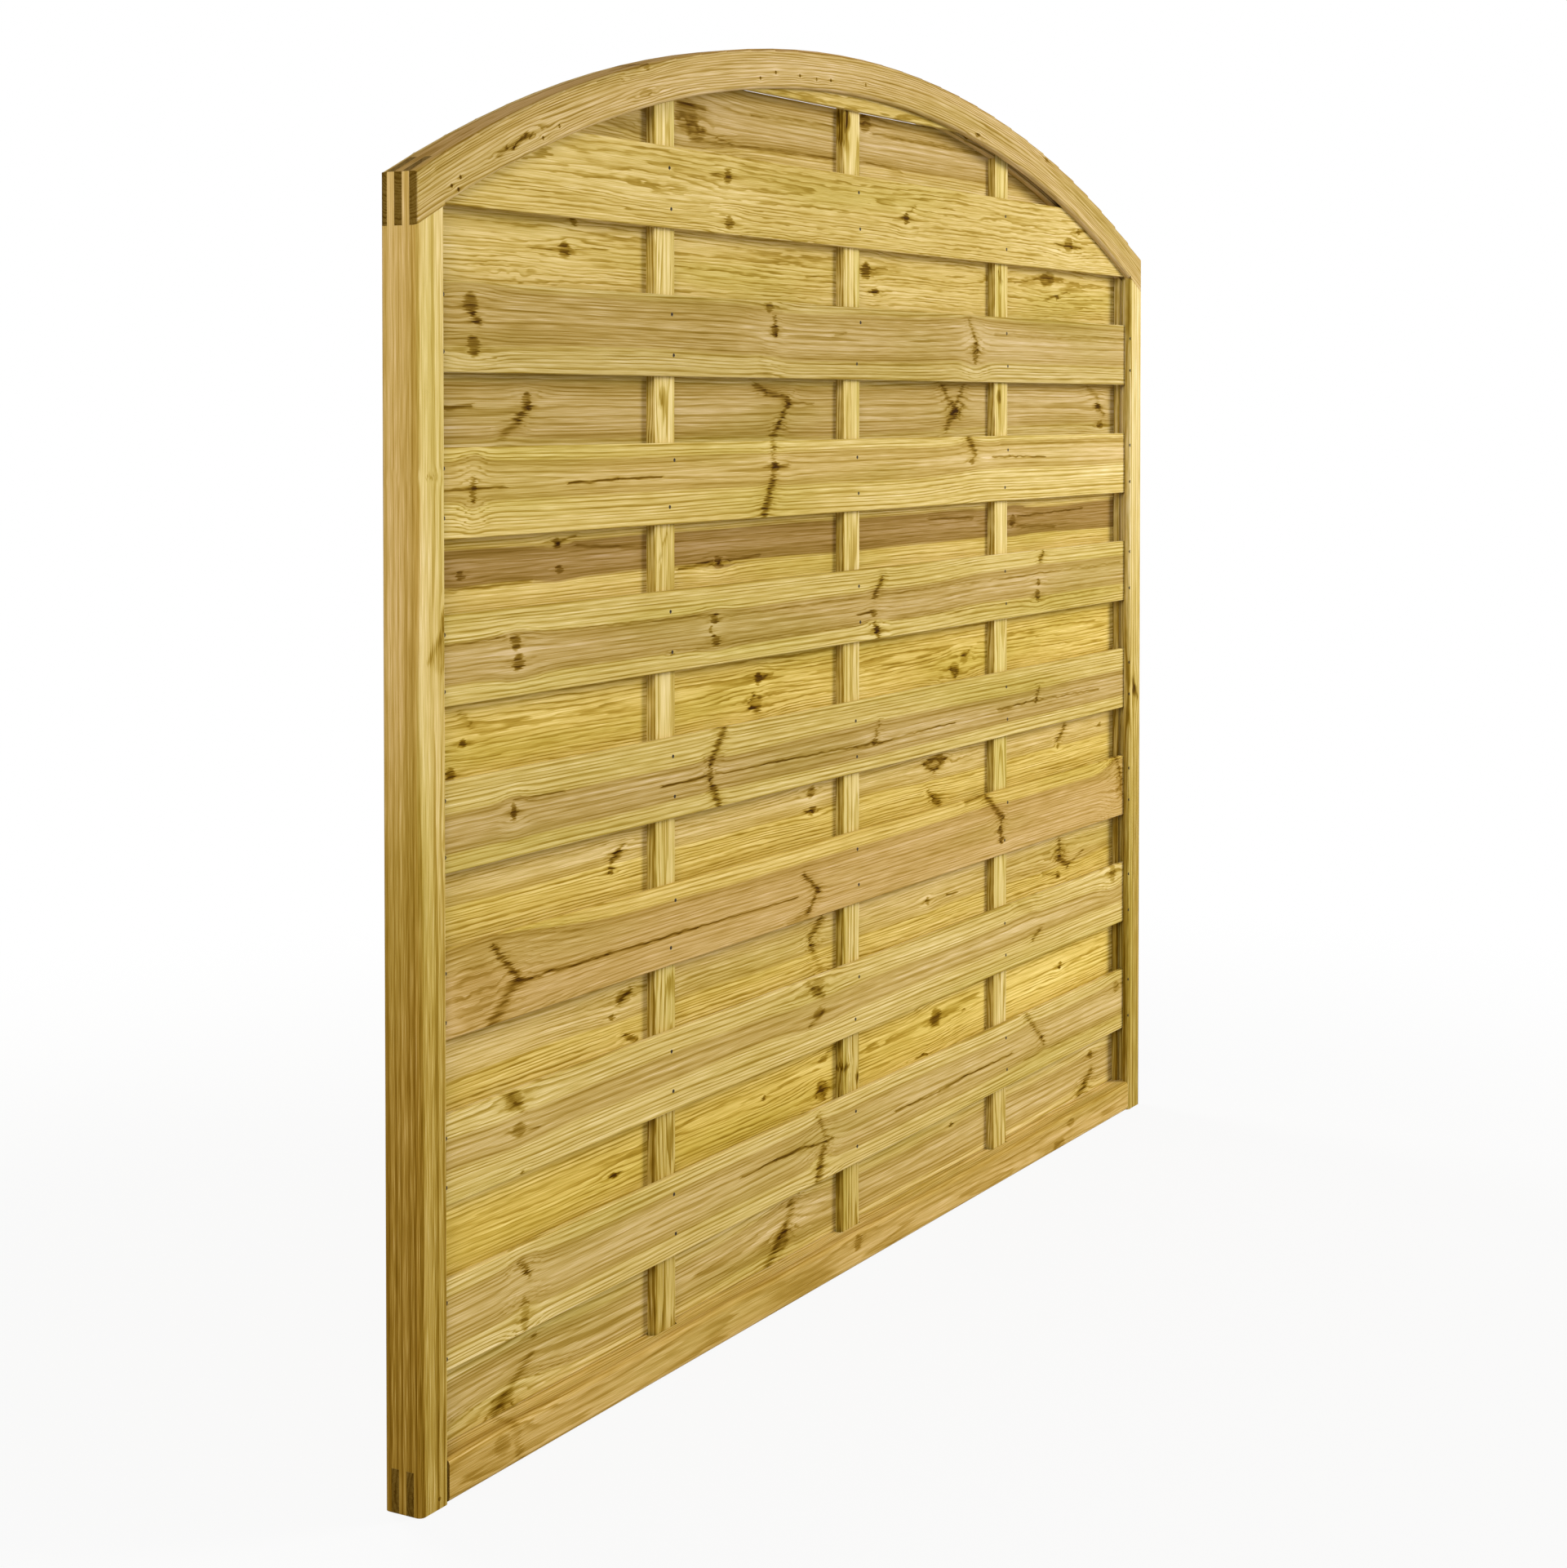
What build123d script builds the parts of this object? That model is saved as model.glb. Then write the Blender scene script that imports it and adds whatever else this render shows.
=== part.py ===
"""Arch-topped privacy fence panel in softwood.

Two stiles, an arched top rail and a bottom rail are comb-jointed at the corners. Battens stand in the
frame, and slats lie on their front and back faces in turn, so that each slat covers the gap between two
slats of the other face. The slat ends run in twin grooves in the stiles and in the arch.

The origin is the middle of the foot. X runs along the width, the front faces -Y and Z is up. Millimetres.
"""

import os
from math import asin, degrees

from build123d import *

# Whole panel
panel_width = 1800.0
panel_height = 1500.0  # at the crown of the arch
side_height = 1295.0  # at the outer faces of the stiles

# Frame timbers
stile_width = 45.0
bottom_rail_height = 43.0
arch_depth = 46.0  # measured along the radius
lip = 9.0  # wood in front of and behind the grooves
groove_depth = 9.0
edge_round = 6.0  # stiles, bottom rail and the panel's upright corners
arch_round = 5.0  # the arch's long edges

# Slats
slat_width = 90.0
slat_thickness = 7.5
slat_lap = 8.5  # about how far each slat covers its neighbours on the other face
slat_edge_round = 1.5
crown_show = 17.5  # how much of the short top slat shows below the crown of the arch
crown_lap = 2.5  # how far it covers the row below it

# Battens
batten_count = 3
batten_width = 41.0
batten_thickness = 10.5
batten_spacing = 434.0
mortise_depth = 10.0

# Fits
groove_gap = 0.75  # on each side of a slat in its groove
end_gap = 1.5  # between a slat or batten end and the bottom of its groove
joint_gap = 0.2  # on each side of a tongue or tenon
mortise_gap = 0.5  # around a batten in the bottom rail and in the arch

# Layers from front to back: lip, groove, land, groove, lip
groove_width = slat_thickness + 2 * groove_gap
land = batten_thickness - 2 * groove_gap
frame_depth = 2 * lip + 2 * groove_width + land
groove_offset = (land + groove_width) / 2
slat_offset = (batten_thickness + slat_thickness) / 2
tongue_thickness = groove_width - 2 * joint_gap

# Outline of the frame and of its opening
half_width = panel_width / 2
half_opening = half_width - stile_width
groove_end = half_opening + groove_depth  # bottom of the stiles' grooves
rise = panel_height - side_height
outer_radius = (half_width**2 + rise**2) / (2 * rise)
inner_radius = outer_radius - arch_depth
groove_radius = inner_radius + groove_depth  # bottom of the arch's grooves
arch_centre = panel_height - outer_radius

# Rows of full slats, spread evenly from the bottom rail to the short slat under the crown
crown_low = panel_height - arch_depth - crown_show
row_span = crown_low + crown_lap - slat_width - bottom_rail_height
row_steps = round(row_span / (slat_width - slat_lap))
row_pitch = row_span / row_steps
FRONT = -1
BACK = 1


def disc(radius, depth=frame_depth):
    """A disc about the arch's centre, in the middle of the frame: all that lies below one of the arch's curves."""
    return Pos(0, 0, arch_centre) * Rot(90, 0, 0) * Cylinder(radius, depth)


def comb(x_from, x_to, z_from, z_to, thickness):
    """Two equal blocks, one in line with each groove: a pair of tongues, tenons, slots or grooves."""
    size = (x_to - x_from, thickness, z_to - z_from)
    middle_x = (x_from + x_to) / 2
    middle_z = (z_from + z_to) / 2
    front = Pos(middle_x, FRONT * groove_offset, middle_z) * Box(*size)
    back = Pos(middle_x, BACK * groove_offset, middle_z) * Box(*size)
    return front + back


def make_left_stile():
    """A grooved upright with two tongues at the top and two open slots at the foot."""
    middle_x = -(half_opening + stile_width / 2)
    section = Pos(middle_x, 0) * RectangleRounded(stile_width, frame_depth, edge_round)
    upright = extrude(section, panel_height)
    upright -= comb(-groove_end, -half_opening, 0, panel_height, groove_width)
    tongues = comb(-half_width, -groove_end, 0, panel_height, tongue_thickness)
    stile = upright & disc(inner_radius - joint_gap)
    stile += upright & tongues & disc(outer_radius)
    return stile - comb(-half_width, -half_opening, 0, bottom_rail_height + joint_gap, groove_width)


def make_arch_rail(batten_places):
    """A curved grooved rail with three fingers at each end and a pocket in its land for every batten.

    Its inner edges are rounded across the opening and square where they sit on the stiles.
    """
    middle_z = arch_centre + (inner_radius + outer_radius) / 2
    crown = Plane((0, 0, middle_z), x_dir=(0, 1, 0), z_dir=(1, 0, 0))
    rounded = crown * RectangleRounded(frame_depth, arch_depth, arch_round)
    square_foot = crown * Rectangle(frame_depth, arch_depth / 2, align=(Align.CENTER, Align.MAX))
    pivot = Axis((0, 0, arch_centre), (0, 1, 0))
    opening_angle = degrees(asin(half_opening / inner_radius))
    past_end_angle = degrees(asin((half_width + arch_depth) / inner_radius))
    span = revolve(rounded.rotate(pivot, -opening_angle), pivot, 2 * opening_angle)
    left_end = (rounded + square_foot).rotate(pivot, -past_end_angle)
    left_end = revolve(left_end, pivot, past_end_angle - opening_angle)
    corner = RectangleRounded(2 * stile_width, frame_depth, edge_round, align=(Align.MIN, Align.CENTER))
    left_end &= extrude(Pos(-half_width, 0) * corner, panel_height)
    rail = span + left_end + left_end.mirror(Plane.YZ)
    for side in (FRONT, BACK):
        rail -= Pos(0, side * groove_offset, 0) * disc(groove_radius, groove_width)
    slot_end = groove_end - joint_gap
    for x_from, x_to in ((-half_width, -slot_end), (slot_end, half_width)):
        rail -= comb(x_from, x_to, 0, panel_height, groove_width)
    for x in batten_places:
        pocket = Box(batten_width + 2 * mortise_gap, batten_thickness + 2 * mortise_gap, panel_height)
        rail -= Pos(x, 0, panel_height / 2) * pocket & disc(groove_radius)
    return rail


def make_bottom_rail(batten_places):
    """A rail with twin tenons at each end and a round-ended mortise in its top for every batten."""
    section = RectangleRounded(frame_depth, bottom_rail_height, edge_round)
    rail = extrude(Plane.YZ * Pos(0, bottom_rail_height / 2) * section, half_opening, both=True)
    for x_from, x_to in ((-half_width, -half_opening), (half_opening, half_width)):
        rail += comb(x_from, x_to, 0, bottom_rail_height, tongue_thickness)
    mortise = SlotCenterToCenter(batten_width, batten_thickness + 2 * mortise_gap)
    for x in batten_places:
        rail -= extrude(Pos(x, 0, bottom_rail_height) * mortise, -mortise_depth)
    return rail


def make_batten(x, reach):
    """An upright strip from its mortise in the bottom rail to its pocket in the arch."""
    foot = bottom_rail_height - mortise_depth
    size = (batten_width, batten_thickness, panel_height - foot)
    strip = Box(*size, align=(Align.CENTER, Align.CENTER, Align.MIN))
    return Pos(x, 0, foot) * strip & reach


def make_slat(low, high, face, reach):
    """A board across the frame between two heights, cut to the grooves, with its long edges eased."""
    board = Box(panel_width, slat_thickness, high - low, align=(Align.CENTER, Align.CENTER, Align.MIN))
    slat = Pos(0, face * slat_offset, low) * board & reach
    return fillet(slat.edges().filter_by(Axis.X), slat_edge_round)


batten_places = [(n - (batten_count - 1) / 2) * batten_spacing for n in range(batten_count)]

# How far the slats and battens reach into the grooves
reach = disc(groove_radius - end_gap)
reach &= Pos(0, 0, panel_height / 2) * Box(2 * (groove_end - end_gap), frame_depth, panel_height)

left_stile = make_left_stile()
parts = {
    "left_stile": left_stile,
    "right_stile": left_stile.mirror(Plane.YZ),
    "arch_rail": make_arch_rail(batten_places),
    "bottom_rail": make_bottom_rail(batten_places),
}
for number, x in enumerate(batten_places, start=1):
    parts[f"batten_{number}"] = make_batten(x, reach)

# Full rows alternate between the faces, from a back slat on the bottom rail upwards
for row in range(row_steps + 1):
    low = bottom_rail_height + row * row_pitch
    face, side = ((BACK, "back"), (FRONT, "front"))[row % 2]
    parts[f"{side}_slat_{row // 2 + 1}"] = make_slat(low, low + slat_width, face, reach)

# The short top slat lies on the face across from the top row
parts["crown_slat"] = make_slat(crown_low, panel_height, (FRONT, BACK)[row_steps % 2], reach)

os.makedirs("parts", exist_ok=True)
for name, solid in parts.items():
    solid.label = name
    export_step(solid, f"parts/{name}.step")
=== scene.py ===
"""Looks of the arch-topped privacy fence panel: treated softwood with its grain and knots, brads and a stage.

Laid out as an add-on and run as a script. Lengths are metres in the panel's frame; timber figure is in millimetres.
"""

from math import radians

import bpy
from bpy.props import FloatProperty, FloatVectorProperty, IntProperty, PointerProperty
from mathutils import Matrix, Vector


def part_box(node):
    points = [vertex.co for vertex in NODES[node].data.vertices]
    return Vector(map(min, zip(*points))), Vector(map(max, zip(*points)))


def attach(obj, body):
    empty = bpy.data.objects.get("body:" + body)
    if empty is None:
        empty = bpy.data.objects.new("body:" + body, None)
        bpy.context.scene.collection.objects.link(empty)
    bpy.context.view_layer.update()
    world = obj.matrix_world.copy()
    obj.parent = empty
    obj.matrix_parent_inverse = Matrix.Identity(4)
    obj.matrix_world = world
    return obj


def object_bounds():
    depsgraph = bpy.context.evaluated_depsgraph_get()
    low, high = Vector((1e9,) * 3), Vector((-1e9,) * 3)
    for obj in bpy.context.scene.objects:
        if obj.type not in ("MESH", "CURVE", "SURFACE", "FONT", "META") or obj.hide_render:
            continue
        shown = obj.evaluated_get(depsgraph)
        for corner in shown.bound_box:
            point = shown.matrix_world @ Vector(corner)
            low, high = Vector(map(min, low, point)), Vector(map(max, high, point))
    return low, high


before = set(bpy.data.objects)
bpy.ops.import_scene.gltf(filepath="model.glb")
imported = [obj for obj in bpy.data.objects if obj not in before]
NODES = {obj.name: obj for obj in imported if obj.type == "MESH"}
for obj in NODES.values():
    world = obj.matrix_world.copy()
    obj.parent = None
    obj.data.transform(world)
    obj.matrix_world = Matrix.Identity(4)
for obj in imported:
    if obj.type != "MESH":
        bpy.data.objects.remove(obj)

bl_info = {
    "name": "Privacy Fence Panel",
    "version": (1, 0, 0),
    "blender": (4, 5, 0),
    "location": "View3D > Sidebar > Fence",
    "description": "Dresses an arch-topped slatted fence panel in treated softwood",
    "category": "Object",
}

CAD_BOX = [list(corner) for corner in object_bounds()]
MM = 0.001
ANY_DEPTH = 1e6  # a knot goes right through its board

# The arch's outer curve, in mm: its radius and the height of its centre
ARCH_RADIUS = 2078.05
ARCH_CENTRE = CAD_BOX[1][2] * 1000 - ARCH_RADIUS


def from_screen(red, green, blue):
    """A colour given as 0 to 255 on screen, as the linear values that shaders use."""
    values = (red / 255, green / 255, blue / 255)
    return tuple(v / 12.92 if v <= 0.04045 else ((v + 0.055) / 1.055) ** 2.4 for v in values)


# Each kind of board: sapwood, heartwood, strength of the growth lines, and in mm the ring spacing,
# how far the rings flutter and how long each flutter is
TONES = {
    "honey": ((200, 174, 102), (190, 160, 94), 0.85, 4.2, 4.6, 42),
    "straw": ((202, 176, 104), (188, 158, 94), 0.85, 4.2, 4.6, 42),
    "gold": ((208, 180, 95), (202, 174, 104), 0.95, 4.0, 3.2, 44),
    "bright": ((212, 183, 92), (204, 173, 90), 0.95, 4.0, 3.2, 44),
    "olive": ((188, 164, 98), (178, 151, 90), 0.9, 4.6, 1.6, 80),
    "tan": ((202, 178, 106), (184, 156, 95), 0.85, 4.6, 1.6, 80),
    "pale": ((208, 183, 112), (194, 166, 100), 0.85, 4.6, 1.6, 80),
    "pink": ((208, 179, 98), (189, 156, 92), 0.7, 4.2, 1.8, 60),
    "red": ((207, 180, 104), (154, 123, 67), 0.8, 3.6, 2.0, 60),
    "dusk": ((200, 173, 107), (180, 152, 92), 0.7, 4.2, 2.0, 70),
}

# Figure of the slats, in mm: (tone, pith height, pith depth, heart radius, wander of the rings),
# knots as (x, z, half length, half height, darkness) and streaks as (x, z, x, z, half width, darkness),
# where a darkness below 0 is a paler stretch
# The wide paler stretches from about x 320 to 870, on front slats 5 to 7 and back slats 2 and 7, lighten the right
# bay: partly the boards' own tone, partly painted light where the lamps light the right side more strongly.
SLATS = {
    "front_slat_8": (
        ("honey", 1330, 20, 0, 9),
        (
            (-310, 1334, 9, 9, .95), (-307, 1281, 9, 8, .85), (134, 1311, 9, 8, .95), (645, 1304, 16, 11, .75),
            (680, 1325, 7, 5, .7), (-455, 1310, 26, 10, .02),
        ),
        (
            (600, 1304, 690, 1302, 1.5, .45), (-345, 1332, -330, 1334, 2, .4), (120, 1311, 160, 1330, 2, .35),
            (655, 1322, 705, 1328, 1.6, .45),
        ),
    ),
    "front_slat_7": (
        ("olive", 1154, 4, 29, 7),
        (
            (-802, 1173, 13, 10, .8), (-797, 1130, 11, 10, .85), (-790, 1155, 7, 5, .7), (-215, 1186, 11, 6, .75),
            (-203, 1160, 9, 7, .8), (337, 1143, 9, 14, .7),
        ),
        (
            (-803, 1165, -788, 1153, 4, .7), (-203, 1175, -200, 1155, 4, .6), (318, 1188, 335, 1165, 4, .35),
            # The paler stretch from x 320 to 870 is partly painted light on the right bay.
            (337, 1165, 345, 1143, 5, .5), (-860, 1156, -300, 1156, 24, .09), (320, 1154, 870, 1154, 40, -.09),
            (-235, 1124, -215, 1106, 8, .12), (400, 1170, 850, 1172, 3, .22), (-60, 1158, -30, 1160, 2, .3),
        ),
    ),
    "front_slat_6": (
        ("pale", 997, 3, 20, 6),
        (
            (-798, 988, 5, 14, .8), (-207, 1025, 8, 5, .55), (-203, 1000, 10, 6, .75), (328, 997, 8, 4, .7),
            (447, 1004, 4, 2, .7),
        ),
        (
            # The paler stretch from x 380 to 870 is partly painted light on the right bay.
            (-850, 989, -745, 990, 1.5, .5), (380, 998, 870, 998, 40, -.08), (-632, 991, -540, 993, 1.6, .75),
            (-540, 993, -452, 994, 1.5, .6), (-207, 986, -228, 944, 7, .9), (-203, 1000, -172, 1001, 2, .5),
            (-207, 1022, -203, 1000, 3, .35), (316, 1030, 337, 1009, 7, .75), (390, 1002, 470, 1002, 1.3, .75),
            (470, 1002, 566, 1000, 1, .7), (420, 1018, 850, 1022, 4, .14),
        ),
    ),
    "front_slat_5": (
        ("tan", 818, 2, 21, 4),
        (
            (-727, 832, 9, 8, .9), (-722, 812, 11, 9, .92), (-340, 830, 8, 6, .88), (-337, 805, 10, 7, .92),
            (-348, 817, 5, 4, .6), (45, 812, 10, 4, .7), (55, 789, 9, 8, .85), (544, 822, 7, 5, .7),
            (541, 803, 9, 8, .8), (-430, 798, 5, 3, .5),
        ),
        (
            # The paler stretch from x 380 to 870 is partly painted light on the right bay.
            (68, 853, 46, 832, 5, .85), (380, 845, 870, 845, 40, -.07), (2, 812, 45, 812, 1.3, .6),
            (-860, 838, -740, 839, 1.2, .45), (-735, 841, -330, 835, 1.2, .3), (48, 797, 60, 781, 5, .7),
            (559, 864, 548, 853, 5, .75), (-330, 831, 840, 836, 1.5, .28), (-380, 799, 840, 798, 1.5, .22),
        ),
    ),
    "front_slat_4": (
        ("tan", 652, 2, 20, 4),
        ((-731, 660, 6, 9, .88), (48, 648, 8, 5, .7), (-350, 652, 6, 6, .6), (538, 655, 5, 4, .5),),
        (
            (-319, 703, -348, 667, 6, .85), (-345, 640, -330, 616, 6, .85), (-350, 667, -348, 640, 3, .5),
            (-450, 652, -355, 652, 1.5, .75), (-345, 652, -200, 651, .9, .6), (-200, 651, 0, 648, 1.2, .65),
            (0, 647, 45, 648, 1.8, .75), (60, 646, 280, 650, 1.1, .65), (412, 653, 500, 655, 1.5, .75),
            (500, 655, 760, 651, 1.2, .65), (60, 672, 50, 652, 4, .4), (546, 672, 536, 655, 4, .55),
            (-730, 673, -640, 671, 1.2, .4),
        ),
    ),
    "front_slat_3": (
        ("pink", 483, 2, 40, 4),
        ((-795, 490, 40, 34, .18), (417, 487, 7, 6, .75), (423, 472, 7, 6, .72), (838, 500, 14, 26, .2),),
        (
            (-766, 530, -725, 490, 4, .8), (-725, 490, -770, 453, 8, .55), (-725, 487, -560, 486, 1.8, .85),
            (-560, 486, -380, 485, 1.6, .75), (-380, 485, -150, 482, 1.1, .6), (-132, 506, -97, 483, 4, .85),
            (-97, 483, -125, 460, 4, .7), (-120, 462, -170, 452, 5, .3), (372, 540, 424, 503, 6, .75),
            (424, 503, 420, 470, 4, .5), (310, 538, 370, 541, 5, .45), (800, 533, 838, 545, 4, .3),
            (830, 540, 850, 500, 4, .5), (845, 495, 852, 480, 4, .4),
        ),
    ),
    "front_slat_2": (
        ("pale", 337, 5, 17, 6),
        (
            (-732, 366, 17, 11, .55), (-725, 336, 14, 7, .55), (-717, 289, 4, 3, .8), (-100, 365, 18, 11, .45),
            (-97, 332, 14, 7, .45), (815, 367, 12, 14, .5),
        ),
        (
            (-748, 377, -714, 354, 5, .3), (-745, 337, -690, 330, 1.5, .4), (-120, 321, -80, 334, 3, .4),
            (-125, 372, -85, 352, 4, .45), (527, 316, 553, 327, 4, .6), (480, 372, 520, 362, 8, .1),
        ),
    ),
    "front_slat_1": (
        ("pale", 172, 4, 26, 6),
        ((-714, 143, 8, 18, .5), (-92, 143, 10, 17, .5), (-712, 190, 6, 6, .5), (830, 193, 12, 8, .4),),
        (
            (-722, 199, -706, 181, 4, .6), (-282, 176, -200, 178, 1.2, .7), (-200, 178, -130, 176, 2.2, .85),
            (-130, 176, -62, 170, 1.6, .85), (-97, 207, -80, 178, 4, .4), (-83, 165, -100, 128, 6, .6),
            (105, 167, 235, 164, 1.4, .7), (235, 164, 320, 168, 1.9, .8), (320, 168, 460, 168, 1.2, .65),
            (506, 213, 560, 168, 5, .45), (560, 170, 565, 160, 4, .5), (500, 150, 850, 145, 2, .2),
        ),
    ),
    "crown_slat": (
        ("honey", 1440, 20, 0, 5),
        (),
        (),
    ),
    "back_slat_9": (
        ("dusk", 1404, 4, 30, 8),
        ((-371, 1399, 26, 18, .55), (-351, 1381, 22, 10, .5), (54, 1428, 16, 11, .65), (-452, 1389, 20, 10, .03),),
        (
            (-391, 1414, -331, 1409, 4, .4), (-341, 1383, -270, 1373, 2, .4), (-230, 1412, -27, 1416, 2, .28),
            (-361, 1371, -27, 1375, 2.5, .4), (74, 1416, 418, 1418, 2.5, .35), (54, 1379, 155, 1374, 2, .3),
        ),
    ),
    "back_slat_8": (
        ("straw", 1248, 16, 0, 9),
        (
            (-611, 1235, 12, 9, .95), (-596, 1265, 7, 4, .8), (57, 1242, 13, 10, .95), (84, 1216, 10, 5, .75),
            (610, 1254, 27, 10, .8), (647, 1230, 7, 4, .75), (-680, 1207, 26, 12, .02),
        ),
        (
            (-675, 1234, -624, 1235, 1.6, .4), (-599, 1236, -533, 1240, 1.4, .35), (69, 1245, 114, 1247, 1.5, .4),
            (600, 1224, 680, 1238, 1.6, .5), (498, 1245, 584, 1254, 1.4, .35), (-98, 1228, -27, 1233, 1.5, .4),
            (94, 1217, 64, 1215, 1.5, .5),
        ),
    ),
    "back_slat_7": (
        ("olive", 1066, 5, 30, 8),
        (
            (-682, 1078, 10, 6, .75), (-677, 1070, 6, 5, .7), (797, 1070, 12, 7, .65), (804, 1044, 13, 6, .7),
            (-141, 1077, 8, 6, .6), (311, 1066, 9, 9, .55),
        ),
        (
            # The paler stretch from x 380 to 870 is partly painted light on the right bay.
            (-677, 1073, -697, 1058, 5, .7), (380, 1066, 870, 1066, 40, -.05), (-697, 1058, -723, 1041, 6, .4),
            (-822, 1069, -778, 1072, 2.5, .6), (-219, 1097, -194, 1088, 4, .6), (-194, 1088, -141, 1080, 4, .7),
            (-143, 1075, -159, 1053, 5, .75), (-159, 1053, -175, 1036, 5, .65), (-141, 1075, -78, 1075, 1.2, .6),
            (274, 1097, 312, 1066, 5, .6), (312, 1066, 286, 1043, 7, .6), (337, 1096, 304, 1062, 5, .55),
            (337, 1075, 322, 1060, 4, .4), (756, 1100, 797, 1085, 5, .3), (792, 1075, 817, 1060, 4, .5),
        ),
    ),
    "back_slat_6": (
        ("red", 910, 3, 20, 6),
        (
            (-796, 904, 7, 5, .85), (-629, 929, 8, 6, .8), (-624, 901, 8, 5, .75), (-302, 892, 10, 7, .85),
            (495, 911, 10, 9, .6),
        ),
        (
            (-634, 928, -594, 934, 2, .5), (-826, 888, -675, 891, 2, .5), (-391, 888, -316, 893, 2.5, .6),
            (-290, 893, -209, 896, 2, .4), (509, 916, 600, 918, 1.6, .6), (600, 918, 741, 921, 1.3, .5),
            (-594, 924, -452, 916, 2, .35), (236, 923, 367, 920, 2.5, .35), (509, 903, 640, 898, 3, .25),
        ),
    ),
    "back_slat_5": (
        ("gold", 746, 16, 0, 8),
        (
            (-793, 735, 7, 5, .85), (-814, 707, 9, 6, .8), (-212, 750, 9, 7, .85), (-218, 722, 16, 11, .55),
            (313, 716, 16, 11, .6), (340, 731, 12, 9, .45),
        ),
        (
            (-204, 749, -179, 753, 2, .45), (-232, 718, -209, 712, 2.5, .7), (-235, 722, -219, 733, 2, .6),
            (54, 738, 316, 734, 3, .2), (298, 718, 316, 706, 2.5, .7), (337, 734, 355, 737, 2.5, .6),
            (-796, 767, -776, 751, 3, .25), (-189, 731, -27, 736, 4, .15),
        ),
    ),
    "back_slat_4": (
        ("gold", 622, 6, 46, 7),
        (
            (-526, 569, 6, 4, .95), (-83, 600, 12, 6, .65), (-81, 576, 9, 5, .95), (251, 597, 33, 9, .6),
            (652, 575, 5, 4, .85), (802, 592, 9, 3, .6), (-513, 587, 9, 6, .5),
        ),
        (
            (-507, 592, -527, 579, 4, .85), (-98, 577, -83, 577, 1.8, .6), (220, 599, 251, 587, 3, .75),
            (251, 587, 286, 601, 3, .6), (236, 605, 276, 605, 2, .75), (234, 562, 250, 550, 3, .6),
            (250, 550, 266, 542, 6, .8), (676, 603, 652, 586, 4, .75), (-836, 601, -533, 601, 3, .14),
        ),
    ),
    "back_slat_3": (
        ("gold", 452, 8, 50, 7),
        (
            (-503, 428, 17, 8, .5), (-526, 409, 6, 3, .75), (-80, 408, 8, 6, .75), (231, 415, 6, 5, .65),
            (655, 386, 11, 6, .75), (-488, 379, 9, 4, .7), (660, 418, 26, 12, .25),
        ),
        (
            (-513, 421, -487, 435, 3, .55), (-501, 384, -475, 375, 3.5, .8), (-58, 441, -84, 423, 5, .75),
            (-88, 421, -80, 408, 3, .5), (286, 415, 318, 414, 1.5, .65), (655, 411, 691, 397, 5, .95),
            (657, 438, 660, 413, 5, .55), (600, 397, 655, 389, 3, .45), (691, 397, 746, 411, 2, .4),
            (-78, 401, -58, 377, 6, .2),
        ),
    ),
    "back_slat_2": (
        ("bright", 253, 14, 0, 7),
        (
            (-521, 237, 7, 4, .9), (-199, 249, 5, 4, .7), (-56, 226, 16, 13, .8), (-53, 264, 13, 5, .55),
            (256, 256, 16, 12, .85), (217, 212, 22, 2.5, .9), (342, 251, 6, 2, .75), (661, 253, 7, 5, .85),
        ),
        (
            # The paler stretch from x 380 to 870 is partly painted light on the right bay.
            (-63, 234, -48, 219, 3, .6), (380, 250, 870, 250, 40, -.09), (-533, 238, -508, 237, 1.5, .5),
            (680, 246, 741, 253, 3, .2), (-43, 271, -22, 274, 2, .5), (-73, 227, -37, 227, 2, .4),
            (241, 247, 268, 245, 3, .4),
        ),
    ),
    "back_slat_1": (
        ("pale", 77, 6, 24, 9),
        (
            (-730, 51, 22, 12, .5), (-672, 106, 6, 4, .65), (-159, 67, 20, 14, .4), (304, 101, 5, 3, .7),
            (773, 98, 9, 6, .65), (-137, 106, 8, 4, .6),
        ),
        (
            (-670, 95, -745, 45, 26, .02), (-135, 90, -195, 42, 26, .02), (-681, 87, -740, 49, 6, .4),
            (-145, 81, -191, 45, 8, .55), (-130, 101, -147, 81, 6, .35), (778, 75, 753, 59, 7, .5),
            (753, 59, 729, 47, 7, .6), (-351, 81, -209, 89, 2, .2),
        ),
    ),
}

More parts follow.
